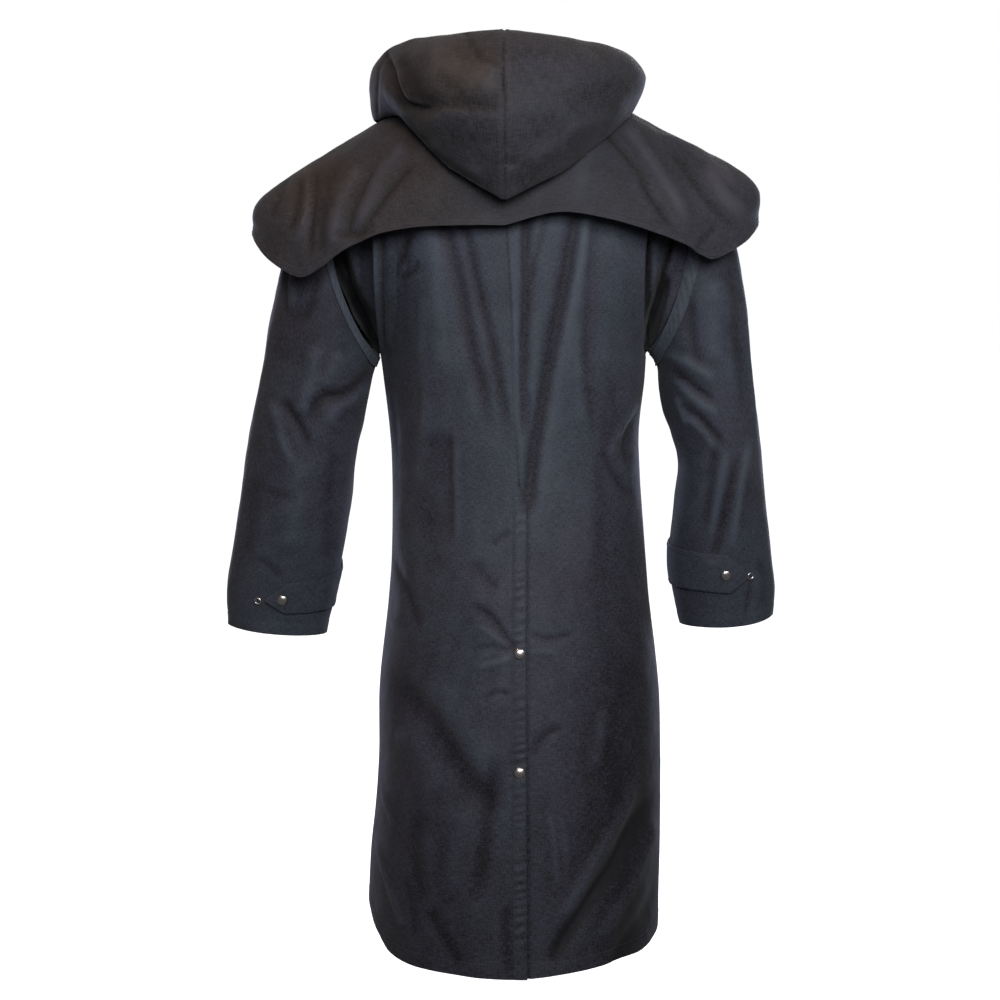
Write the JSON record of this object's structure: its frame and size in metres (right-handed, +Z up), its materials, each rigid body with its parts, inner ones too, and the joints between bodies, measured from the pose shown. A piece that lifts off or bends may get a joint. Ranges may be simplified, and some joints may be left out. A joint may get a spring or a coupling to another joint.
{
  "type": "long hooded riding coat",
  "caption": "Long waxed-cotton riding coat with a hood worn down, a shoulder cape, pleated back armholes, a studded back vent and strapped cuffs, hollow and hanging as when worn",
  "frame": {"origin": "the middle of the neck opening, at the height where the shoulder seams start, which is where the coat is held by its wearer or a stand", "axes": "+X the wearer's right, +Y the wearer's front, +Z up"},
  "size_m": [0.821, 0.4645, 1.3255],
  "materials": {
    "waxed_cotton": "waxed, soft sheen",
    "waxed_cotton_cape": "waxed, soft sheen",
    "stud_metal": "polished, dark"
  },
  "bodies": {
    "root": {"back_left": "waxed_cotton", "back_right": "waxed_cotton", "front_left": "waxed_cotton", "front_right": "waxed_cotton", "gusset_left": "waxed_cotton", "gusset_right": "waxed_cotton", "sleeve_left": "waxed_cotton", "sleeve_right": "waxed_cotton", "armhole_band_left": "waxed_cotton", "armhole_band_right": "waxed_cotton", "cuff_strap_left": "waxed_cotton", "cuff_strap_right": "waxed_cotton", "neck_stand": "waxed_cotton", "cape": "waxed_cotton_cape", "hood_left": "waxed_cotton_cape", "hood_right": "waxed_cotton_cape", "vent_stud_upper": "stud_metal", "vent_stud_lower": "stud_metal", "front_stud_1": "stud_metal", "front_stud_2": "stud_metal", "front_stud_3": "stud_metal", "front_stud_4": "stud_metal", "front_stud_5": "stud_metal", "front_stud_6": "stud_metal", "front_stud_7": "stud_metal", "cuff_stud_left": "stud_metal", "cuff_stud_right": "stud_metal", "cuff_socket_left": "stud_metal", "cuff_socket_right": "stud_metal"}
  },
  "joints": []
}
